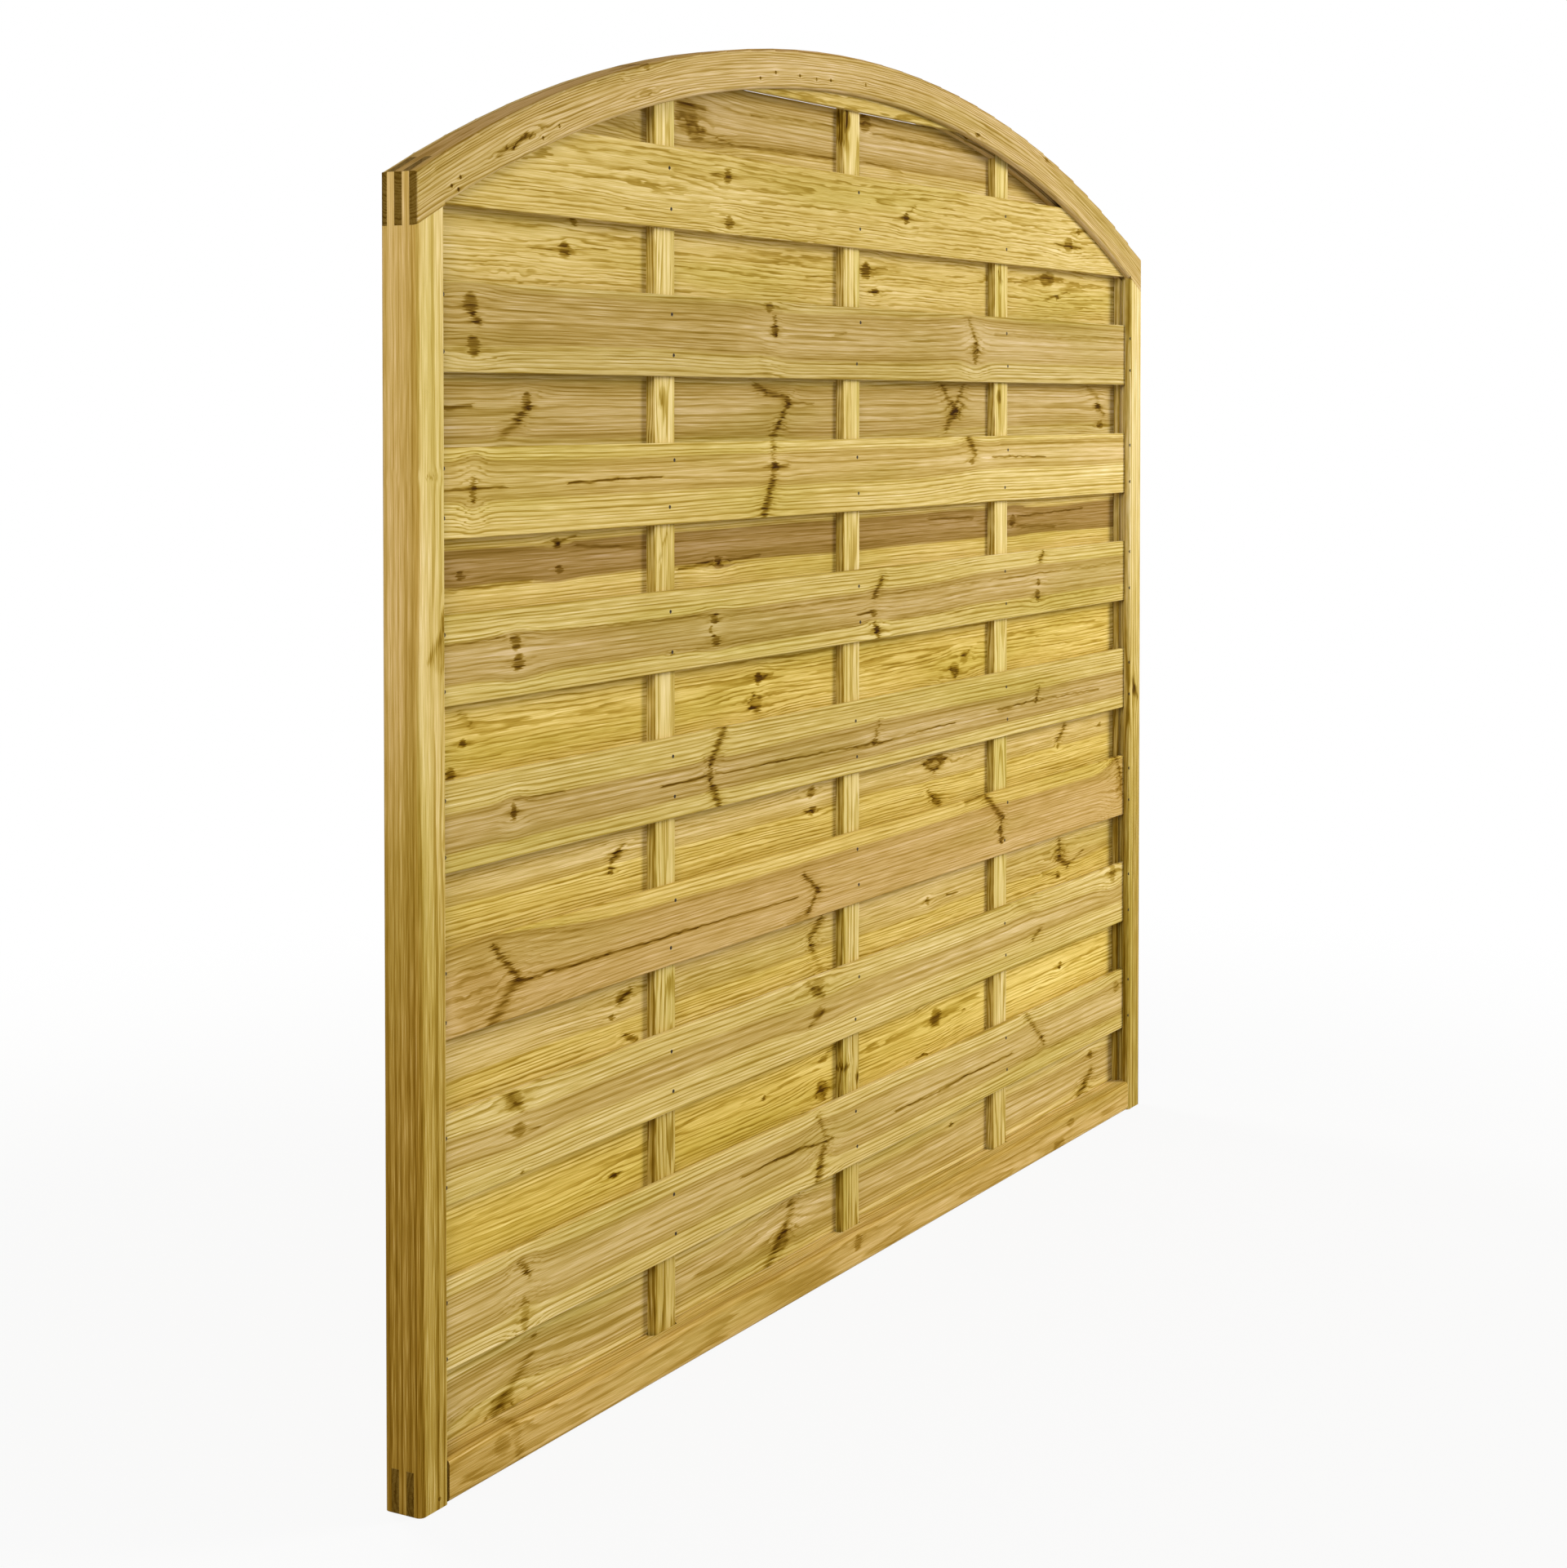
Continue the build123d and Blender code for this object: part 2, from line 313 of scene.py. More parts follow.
# Figure of the frame: grain, tone, pith, heart radius, wander, knots and streaks, all along and across the grain
FRAME_TIMBER = {
    "left_stile": (
        "upright", ((216, 191, 126), (200, 166, 97), 0.42, 7.4, 1.2, 90), (-930, 60), 86, 4,
        ((832, -866, 20, 12, .3), (650, -858, 12, 6, .3), (862, -858, 10, 6, .35), (1003, -880, 2, 8, .3)),
        # The wide streak at the foot darkens the stile's lower part: partly heartwood, partly painted shade where
        # the light falls off downwards.
        ((855, -860, 825, -884, 4, .3), (0, -890, 240, -890, 410, .45)),
    ),
    "right_stile": (
        "upright", ((222, 200, 140), (206, 174, 104), 0.7, 4.8, 1.2, 90), (935, 60), 86, 4,
        ((640, 876, 12, 9, .85),),
        # The wide streak at the foot darkens the stile's lower part, partly heartwood and partly painted shade
        # where the light falls off downwards; the thin streak at x 856 is painted shade, the ochre of the shaded
        # grooves along the inner edge.
        ((656, 868, 628, 886, 4, .7), (0, 880, 350, 880, 420, .36), (0, 856, 1300, 856, 2, .2)),
    ),
    "arch_rail": (
        "arch", ((192, 164, 106), (184, 149, 95), 0.9, 3.2, 2.0, 60), (26, -6), 33, 8,
        (
            (-770, -28, 20, 5, .45), (-742, -27, 8, 5, .55), (-510, -30, 13, 5, .4), (-500, -2, 9, 5, .5),
            (330, -40, 9, 3, .9), (555, -8, 8, 3, .6),
        ),
        ((-800, -31, -740, -26, 3, .3), (-900, -10, -560, -6, 4, .12)),
    ),
    "bottom_rail": (
        "level", ((206, 177, 105), (194, 161, 90), 0.8, 4.0, 2.4, 60), (16, -64), 58, 12,
        ((-767, 28, 15, 11, .34), (-12, 30, 11, 9, .6), (600, 6, 22, 10, .4), (640, 30, 14, 6, .35)),
        ((-745, 42, -735, 6, 7, .25), (-900, 20, -790, 20, 40, .12)),
    ),
}

# Small pins driven flush, along and across the grain, with their radius in mm
PIN_RADIUS = 2.2
PIN_DARKNESS = 0.9
PINS = {
    "left_stile": ((10, -871),),
    "arch_rail": (
        (-885, -33), (-876, -40), (-868, -30), (-771, -31), (-717, -36), (-684, -32), (-258, -34), (-221, -28),
        (-163, -31), (-122, -34), (-86, -33), (5, -31),
    ),
}

# Figure of the battens: middle, knots and streaks
BATTEN_TONE = ((217, 194, 126), (208, 181, 110), 0.75, 4.2, 3.0, 50)
# Each batten's streaks end with a wide one at its foot, which darkens its lower part, partly the wood's own tone
# and partly painted shade where the light falls off downwards, and a thin one 22 mm left of its middle, which is
# painted shade: the ochre of the shaded left side face and edge.
BATTENS = {
    "batten_1": (
        -434,
        ((1080, -440, 14, 8, .25),),
        ((900, -445, 930, -430, 2, .3), (0, -434, 120, -434, 300, .28), (0, -456, 1500, -456, 2.6, .3)),
    ),
    "batten_2": (
        0,
        # The first entries of batten 2's knots and streaks darken a patch at its top-left corner.
        ((1424, -12, 16, 9, .8), (248, -16, 4, 12, .9), (228, 14, 7, 5, .9)),
        ((1400, -20, 1436, -14, 6, .7), (0, 0, 120, 0, 300, .2), (0, -22, 1500, -22, 2.6, .32)),
    ),
    "batten_3": (
        434,
        ((1085, 427, 12, 7, .7), (1250, 430, 10, 5, .3)),
        ((1255, 424, 1240, 440, 1.5, .4), (0, 434, 60, 434, 300, .1), (0, 412, 1500, 412, 2.6, .3)),
    ),
}
BATTEN_PITH_ASIDE = 2
BATTEN_PITH_DEPTH = 34
BATTEN_HEART = 28
BATTEN_WANDER = 14

# Wood in general
WIDEST_BOW = 16.0  # mm, past which a wider streak bends the rings no further
GREEN_CAST = (0.94, 0.985, 0.84)  # tint of the treated patches
DRY_WOOD_GLOSS = 0.02

# Brads: rows as shares of a slat's height, the rest in metres
SLAT_HEIGHT = 0.09
BATTEN_ROWS = (0.76, 0.24)
END_ROWS = (0.8, 0.22)
BATTEN_ASIDE = 0.004  # to the right of a batten's middle
LIP_MIDDLE = 0.8582  # from the panel's middle
LIP_SINK = 0.0008  # where the lip's edge is rounded
BELOW_ARCH = 1.27  # slats that reach higher end in the arch

# Stage: lamps as (name, place, target, size), then the floor, which is whiter further out
LAMPS = (
    ("key lamp", (3.3, -3.7, 2.45), (0.5, 0.0, 0.6), 2.2),
    ("fill lamp", (-4.0, -1.7, 2.6), (-0.7, 0.0, 1.1), 1.8),
    ("back lamp", (1.6, 4.4, 2.4), (0.0, 0.0, 0.7), 2.2),
)
FLOOR_RADIUS = 14.0
FLOOR_HEIGHT = -0.0005
WHITE_FROM = (1.0, 2.6)
WHITE_SHARE = (0.9, 1.0)


# ---------------------------------------------------------------- settings


class TimberLooks(bpy.types.PropertyGroup):
    """Colours and grain of the treated softwood."""

    ring_scale: FloatProperty(
        name="Ring Scale", description="How wide the growth rings are against each board's own spacing",
        default=1.0, min=0.2, max=5,
    )
    stain: FloatVectorProperty(
        name="Stain", description="How growth lines, fibres and knots tint the wood",
        subtype="COLOR", size=3, min=0, max=1, default=(0.56, 0.48, 0.2),
    )
    end_colour: FloatVectorProperty(
        name="End Grain", description="Colour of sawn ends",
        subtype="COLOR", size=3, min=0, max=1, default=from_screen(112, 86, 32),
    )
    roughness: FloatProperty(
        name="Roughness", description="Roughness of planed wood",
        default=0.72, min=0, max=1, subtype="FACTOR",
    )


class BradSizes(bpy.types.PropertyGroup):
    """Small nails that hold the slats."""

    head_radius: FloatProperty(
        name="Head Radius", description="Radius of a brad's head",
        default=0.0022, min=0.0005, unit="LENGTH",
    )
    head_height: FloatProperty(
        name="Head Height", description="Thickness of a brad's head",
        default=0.0012, min=0.0002, unit="LENGTH",
    )
    proud: FloatProperty(
        name="Proud", description="How far a head stands out of a slat",
        default=0.0003, min=0, unit="LENGTH",
    )
    sides: IntProperty(name="Sides", description="Sides of a head", default=10, min=6, max=16)
    steel_colour: FloatVectorProperty(
        name="Steel", description="Colour of the dull heads",
        subtype="COLOR", size=3, min=0, max=1, default=from_screen(60, 48, 28),
    )


class StageSettings(bpy.types.PropertyGroup):
    """Camera, floor and lamps."""

    camera_place: FloatVectorProperty(
        name="Camera", description="Where the camera stands",
        subtype="TRANSLATION", size=3, default=(-2.9657, -1.60911, 1.06988),
    )
    camera_turn: FloatProperty(
        name="Turn", description="Camera's turn from straight on",
        default=radians(60.16), unit="ROTATION",
    )
    camera_tilt: FloatProperty(
        name="Tilt", description="Camera's tilt, upright at a right angle",
        default=radians(88.5), unit="ROTATION",
    )
    lens: FloatProperty(
        name="Lens", description="Focal length on a 36 mm sensor",
        default=62.2368, subtype="DISTANCE_CAMERA",
    )
    shift: FloatProperty(name="Shift", description="Upright shift of the lens", default=-0.19486)
    floor_colour: FloatVectorProperty(
        name="Floor", description="Colour of the pale floor",
        subtype="COLOR", size=3, min=0, max=1, default=(0.55, 0.54, 0.52),
    )
    key_power: FloatProperty(
        name="Key Lamp", description="Power of the large front lamp",
        default=226.0, min=0, unit="POWER",
    )
    fill_power: FloatProperty(
        name="Fill Lamp", description="Power of the side lamp",
        default=110.0, min=0, unit="POWER",
    )
    back_power: FloatProperty(
        name="Back Lamp", description="Power of the lamp behind the panel",
        default=170.0, min=0, unit="POWER",
    )
    sky: FloatProperty(name="Sky", description="Strength of the even light around", default=0.34, min=0)


# ---------------------------------------------------------------- node helpers


class Nodes:
    """Adds and links the nodes of one tree."""

    def __init__(self, tree):
        self.tree = tree

    def add(self, kind, **settings):
        node = self.tree.nodes.new(kind)
        for name, value in settings.items():
            setattr(node, name, value)
        return node

    def feed(self, socket, value):
        if isinstance(value, bpy.types.NodeSocket):
            self.tree.links.new(value, socket)
        elif value is not None:
            socket.default_value = value

    def math(self, operation, a, b=None, c=None, clamp=False):
        node = self.add("ShaderNodeMath", operation=operation, use_clamp=clamp)
        for socket, value in zip(node.inputs, (a, b, c)):
            self.feed(socket, value)
        return node.outputs[0]

    def vector(self, operation, a, b=None, scale=None):
        node = self.add("ShaderNodeVectorMath", operation=operation)
        self.feed(node.inputs[0], a)
        self.feed(node.inputs[1], b)
        if scale is not None:
            self.feed(node.inputs["Scale"], scale)
        return node.outputs["Value" if operation in ("LENGTH", "DOT_PRODUCT") else "Vector"]

    def split(self, vector):
        node = self.add("ShaderNodeSeparateXYZ")
        self.feed(node.inputs[0], vector)
        return node.outputs

    def join(self, x, y, z):
        node = self.add("ShaderNodeCombineXYZ")
        for socket, value in zip(node.inputs, (x, y, z)):
            self.feed(socket, value)
        return node.outputs[0]

    def step(self, value, low, high, to_low=0.0, to_high=1.0):
        node = self.add("ShaderNodeMapRange", interpolation_type="SMOOTHSTEP")
        for socket, number in zip(node.inputs, (value, low, high, to_low, to_high)):
            self.feed(socket, number)
        return node.outputs[0]

    def noise(self, place, detail=2.0, roughness=0.5, colour=False):
        node = self.add("ShaderNodeTexNoise")
        self.feed(node.inputs["Vector"], place)
        self.feed(node.inputs["Scale"], 1.0)
        self.feed(node.inputs["Detail"], detail)
        self.feed(node.inputs["Roughness"], roughness)
        return node.outputs["Color" if colour else "Fac"]

    def mix(self, factor, a, b, blend="MIX"):
        node = self.add("ShaderNodeMix", data_type="RGBA", blend_type=blend)
        sockets = [socket for socket in node.inputs if socket.enabled]
        for socket, value in zip(sockets, (factor, a, b)):
            self.feed(socket, value)
        return next(socket for socket in node.outputs if socket.enabled)

    def ink(self, colour, tint, amount):
        """The colour seen through so many coats of a tint."""
        coats = self.join(*(self.math("POWER", channel, amount) for channel in self.split(tint)))
        return self.vector("MULTIPLY", colour, coats)

    def square(self, vector):
        """A vector's length, squared."""
        return self.vector("DOT_PRODUCT", vector, vector)

    def bell(self, value):
        """e to the minus value."""
        return self.math("EXPONENT", self.math("MULTIPLY", value, -1.0))

    def group(self, tree, **values):
        node = self.add("ShaderNodeGroup", node_tree=tree)
        for name, value in values.items():
            self.feed(node.inputs[name.replace("_", " ").capitalize()], value)
        return node.outputs


def new_group(name, inputs, outputs):
    """An empty node group with its sockets, its nodes and its two ends."""
    tree = bpy.data.node_groups.new(name, "ShaderNodeTree")
    kinds = {"F": "NodeSocketFloat", "V": "NodeSocketVector", "C": "NodeSocketColor"}
    for kind, label in inputs:
        tree.interface.new_socket(label, in_out="INPUT", socket_type=kinds[kind])
    for kind, label in outputs:
        tree.interface.new_socket(label, in_out="OUTPUT", socket_type=kinds[kind])
    nodes = Nodes(tree)
    return nodes, nodes.add("NodeGroupInput").outputs, nodes.add("NodeGroupOutput").inputs


def knot_group():
    """A knot: dark core and rim, ears along the grain, a pale halo, and rings that flow round it."""
    inputs = (
        ("V", "Place"), ("F", "Shift"), ("F", "Dark"),
        ("V", "Centre"), ("V", "Half size"), ("F", "Strength"),
    )
    n, given, result = new_group("knot", inputs, (("F", "Shift"), ("F", "Dark")))
    away = n.vector("DIVIDE", n.vector("SUBTRACT", given["Place"], given["Centre"]), given["Half size"])
    q = n.vector("LENGTH", away)
    core = n.step(q, 0.4, 1.2, 0.95, 0.0)
    rim = n.step(n.math("ABSOLUTE", n.math("SUBTRACT", q, 0.85)), 0.0, 0.35, 0.3, 0.0)
    ears = n.bell(n.square(n.vector("MULTIPLY", away, (0.4, 2.0, 0))))
    ears = n.math("MULTIPLY", ears, 0.4)
    halo = n.bell(n.square(n.vector("MULTIPLY", away, (0.3, 0.45, 0))))
    halo = n.math("MULTIPLY", halo, 0.12)
    dark = n.math("SUBTRACT", n.math("MAXIMUM", n.math("ADD", core, rim), ears), halo)
    n.feed(result["Dark"], n.math("MULTIPLY_ADD", dark, given["Strength"], given["Dark"]))
    spread = n.square(n.vector("MULTIPLY", away, (0.25, 0.5, 0)))
    across = n.math("MULTIPLY", n.split(away)[1], n.split(given["Half size"])[1])
    bow = n.math("MULTIPLY", n.bell(spread), across)
    n.feed(result["Shift"], n.math("MULTIPLY_ADD", bow, 0.65, given["Shift"]))
    return n.tree


def streak_group():
    """A branch cut lengthwise, a line of pith, or a darker or paler stretch, between two points."""
    inputs = (
        ("V", "Place"), ("F", "Shift"), ("F", "Dark"),
        ("V", "Start"), ("V", "End"), ("F", "Half width"), ("F", "Strength"),
    )
    n, given, result = new_group("streak", inputs, (("F", "Shift"), ("F", "Dark")))
    run = n.vector("SUBTRACT", given["End"], given["Start"])
    away = n.vector("MULTIPLY", n.vector("SUBTRACT", given["Place"], given["Start"]), (1, 1, 0))
    along = n.math("DIVIDE", n.vector("DOT_PRODUCT", away, run), n.vector("DOT_PRODUCT", run, run), clamp=True)
    distance = n.vector("LENGTH", n.vector("SUBTRACT", away, n.vector("SCALE", run, scale=along)))
    q = n.math("DIVIDE", distance, given["Half width"])
    core = n.step(q, 0.0, 1.6, 1.0, 0.0)
    square = n.math("MULTIPLY", q, q)
    halo = n.math("MULTIPLY", n.bell(n.math("MULTIPLY", square, 0.176)), 0.15)
    n.feed(result["Dark"], n.math("MULTIPLY_ADD", n.math("MAXIMUM", core, halo), given["Strength"], given["Dark"]))
    reach = n.math("MINIMUM", given["Half width"], WIDEST_BOW)
    bow = n.math("MULTIPLY", n.bell(n.math("MULTIPLY", square, 0.09)), reach)
    n.feed(result["Shift"], n.math("MULTIPLY_ADD", bow, 0.45, given["Shift"]))
    return n.tree


def timber_group():
    """Growth rings about a pith, heartwood inside, fibres, knots and sawn ends."""
    inputs = (
        ("V", "Place"), ("V", "Seed"), ("F", "Shift"), ("F", "Dark"), ("F", "End"), ("V", "Pith"), ("F", "Heart"),
        ("F", "Wander"), ("F", "Flutter"), ("F", "Tooth"), ("F", "Spacing"), ("F", "Lines"),
        ("C", "Sapwood"), ("C", "Heartwood"), ("C", "Stain"), ("C", "End grain"),
    )
    n, given, result = new_group("timber", inputs, (("C", "Colour"), ("F", "Fibre")))

    def field(sizes, detail):
        """Noise about zero. The sizes of its blotches are in mm, along the grain first."""
        scaled = n.vector("DIVIDE", given["Place"], sizes)
        return n.math("SUBTRACT", n.noise(n.vector("ADD", scaled, given["Seed"]), detail), 0.5)

    # Rings about the pith, bent round knots, that wander and flutter
    wide = field((260, 34, 34), 0.0)
    fine = field(n.join(given["Tooth"], 3.6, 3.6), 1.0)
    bent = n.vector("SUBTRACT", given["Place"], n.join(0.0, given["Shift"], 0.0))
    from_pith = n.vector("MULTIPLY", n.vector("SUBTRACT", bent, given["Pith"]), (0, 1, 1))
    radius = n.math("MULTIPLY_ADD", wide, given["Wander"], n.vector("LENGTH", from_pith))
    ring = n.math("MULTIPLY_ADD", fine, given["Flutter"], radius)
    ring = n.math("MULTIPLY_ADD", n.math("SINE", n.math("MULTIPLY", radius, 0.31)), 1.3, ring)
    turn = n.math("FRACT", n.math("DIVIDE", ring, given["Spacing"]))
    line = n.math("MULTIPLY", n.step(turn, 0.45, 0.82), n.step(turn, 0.88, 1.0, 1.0, 0.0))
    patchy = n.step(field((150, 11, 11), 0.0), -0.2, 0.15, 0.45, 1.0)

    # Heartwood within its radius, with an edge frayed along the grain
    fibre = field((50, 0.8, 0.8), 1.0)
    streaky = field((380, 3.4, 3.4), 1.0)
    edge = n.math("SUBTRACT", n.math("MULTIPLY_ADD", streaky, 8.0, radius), given["Heart"])
    heart = n.step(edge, -2.5, 2.0, 1.0, 0.0)
    cloud = field((400, 50, 50), 0.0)
    colour = n.mix(heart, given["Sapwood"], given["Heartwood"])
    colour = n.ink(colour, GREEN_CAST, n.step(cloud, 0.0, 0.3, 0.0, 0.7))
    colour = n.mix(given["End"], colour, given["End grain"])

    # Coats of stain: growth lines, fibres, streaks, the heart's rim, clouds and knots
    fade = n.math("MULTIPLY_ADD", heart, -0.35, 1.15)
    coats = n.math("MULTIPLY", n.math("MULTIPLY", line, patchy), n.math("MULTIPLY", given["Lines"], fade))
    coats = n.math("MULTIPLY_ADD", fibre, 1.5, coats)
    coats = n.math("MULTIPLY_ADD", streaky, 0.85, coats)
    heart_rim = n.math("MULTIPLY", heart, n.step(edge, -15.0, -1.0, -0.08, 0.28))
    coats = n.math("ADD", coats, heart_rim)
    coats = n.math("MULTIPLY_ADD", cloud, 0.5, coats)
    hatch = n.math("MULTIPLY_ADD", line, 1.4, n.math("MULTIPLY_ADD", fibre, 4.5, 2.1))
    coats = n.math("MULTIPLY_ADD", n.math("MINIMUM", given["Dark"], 1.1), hatch, coats)
    n.feed(result["Colour"], n.ink(colour, given["Stain"], coats))
    n.feed(result["Fibre"], fibre)
    return n.tree


GROUPS = {}


def use_group(name):
    """One of the three node groups, made when it is first wanted."""
    if name not in GROUPS:
        GROUPS[name] = {"knot": knot_group, "streak": streak_group, "timber": timber_group}[name]()
    return GROUPS[name]


def lay_grain(n, grain):
    """Where a point is in its timber, in mm: along the grain, across it and from front to back.

    Also how far the surface is a sawn end.
    """
    object_place = n.add("ShaderNodeTexCoord").outputs["Object"]
    x, y, z = n.split(n.vector("MULTIPLY", object_place, (1000, 1000, 1000)))
    normal = n.split(n.add("ShaderNodeNewGeometry").outputs["Normal"])
    if grain == "upright":
        return n.join(z, x, y), n.step(n.math("ABSOLUTE", normal[2]), 0.55, 0.85)
    end = n.step(n.math("ABSOLUTE", normal[0]), 0.5, 0.8)
    if grain == "level":
        return n.join(x, z, y), end
    above = n.math("SUBTRACT", z, ARCH_CENTRE)
    along = n.math("MULTIPLY", n.math("ARCTAN2", x, above), ARCH_RADIUS)
    across = n.math("SUBTRACT", n.vector("LENGTH", n.join(x, above, 0.0)), ARCH_RADIUS)
    return n.join(along, across, y), end


def make_timber(name, grain, tone, pith, heart, wander, knots=(), streaks=(), pins=()):
    """A material for one board.

    pith is its place across the grain and its depth, and heart the radius of the heartwood, in mm.
    """
    looks = bpy.context.scene.fence_timber
    sapwood, heartwood, lines, spacing, flutter, tooth = tone
    material = bpy.data.materials.new(name)
    material.use_nodes = True
    material.node_tree.nodes.clear()
    n = Nodes(material.node_tree)
    place, end = lay_grain(n, grain)
    along = n.math("SUBTRACT", n.noise(n.vector("MULTIPLY", place, (1 / 22, 1 / 1.6, 1 / 1.6)), 0.0), 0.5)
    across = n.math("SUBTRACT", n.noise(n.vector("MULTIPLY", place, (1 / 15, 1 / 9, 1 / 9)), 0.0), 0.5)
    wobble = n.join(along, across, 0.0)
    knot_place = n.vector("ADD", place, n.vector("MULTIPLY", wobble, (16, 6, 0)))
    streak_place = n.vector("ADD", place, n.vector("MULTIPLY", wobble, (22, 3, 0)))
    shift, dark = 0.0, 0.0
    for a, b, long, high, strength in knots:
        shift, dark = n.group(
            use_group("knot"), place=knot_place, shift=shift, dark=dark,
            centre=(a, b, 0), half_size=(long, high, ANY_DEPTH), strength=strength,
        )
    for a, b, c, d, width, strength in streaks:
        shift, dark = n.group(
            use_group("streak"), place=streak_place, shift=shift, dark=dark,
            start=(a, b, 0), end=(c, d, 0), half_width=width, strength=strength,
        )
    for a, b in pins:
        shift, dark = n.group(
            use_group("knot"), place=place, shift=shift, dark=dark,
            centre=(a, b, 0), half_size=(PIN_RADIUS, PIN_RADIUS, ANY_DEPTH), strength=PIN_DARKNESS,
        )
    # A seed from the board's name, so that no two boards are alike
    number = sum(ord(letter) * (k + 1) for k, letter in enumerate(name))
    out = n.group(
        use_group("timber"), place=place, seed=(number % 97, number % 53, number % 31),
        shift=shift, dark=dark, end=end, pith=(0, *pith), heart=heart, wander=wander, flutter=flutter,
        tooth=tooth, spacing=spacing * looks.ring_scale, lines=lines,
        sapwood=(*from_screen(*sapwood), 1), heartwood=(*from_screen(*heartwood), 1),
        stain=(*looks.stain, 1), end_grain=(*looks.end_colour, 1),
    )
    shader = n.add("ShaderNodeBsdfPrincipled")
    n.feed(shader.inputs["Base Color"], out["Colour"])
    smooth, rough = looks.roughness - 0.08, looks.roughness + 0.08
    n.feed(shader.inputs["Roughness"], n.step(out["Fibre"], -0.3, 0.3, smooth, rough))
    shader.inputs["Specular IOR Level"].default_value = DRY_WOOD_GLOSS
    bump = n.add("ShaderNodeBump")
    bump.inputs["Strength"].default_value = 0.4
    bump.inputs["Distance"].default_value = 0.0006
    n.feed(bump.inputs["Height"], out["Fibre"])
    n.feed(shader.inputs["Normal"], bump.outputs[0])
    n.feed(n.add("ShaderNodeOutputMaterial").inputs["Surface"], shader.outputs[0])
    return material


def dress(node, material):
    """Gives one CAD node its material."""
    slots = NODES[node].material_slots
    if not slots:
        raise RuntimeError(node + " has no material slot")
    for slot in slots:
        slot.material = material


# ---------------------------------------------------------------- operators


class FENCE_OT_frame(bpy.types.Operator):
    """Give the stiles, the arched rail and the bottom rail their timber"""

    bl_idname = "fence.frame"
    bl_label = "Frame Timber"

    def execute(self, context):
        for node, (grain, tone, pith, heart, wander, knots, streaks) in FRAME_TIMBER.items():
            name = node.replace("_", " ")
            pins = PINS.get(node, ())
            dress(node, make_timber(name, grain, tone, pith, heart, wander, knots, streaks, pins))
        return {"FINISHED"}


class FENCE_OT_battens(bpy.types.Operator):
    """Give the three upright battens their timber"""

    bl_idname = "fence.battens"
    bl_label = "Batten Timber"

    def execute(self, context):
        for node, (middle, knots, streaks) in BATTENS.items():
            name = node.replace("_", " ")
            pith = (middle + BATTEN_PITH_ASIDE, BATTEN_PITH_DEPTH)
            timber = make_timber(name, "upright", BATTEN_TONE, pith, BATTEN_HEART, BATTEN_WANDER, knots, streaks)
            dress(node, timber)
        return {"FINISHED"}


class FENCE_OT_slats(bpy.types.Operator):
    """Give every slat its own board, with its knots, pith and heartwood"""

    bl_idname = "fence.slats"
    bl_label = "Slat Timber"

    def execute(self, context):
        for node, ((tone, height, depth, heart, wander), knots, streaks) in SLATS.items():
            name = node.replace("_", " ")
            pith = (height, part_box(node)[0].y / MM + depth)
            dress(node, make_timber(name, "level", TONES[tone], pith, heart, wander, knots, streaks))
        return {"FINISHED"}


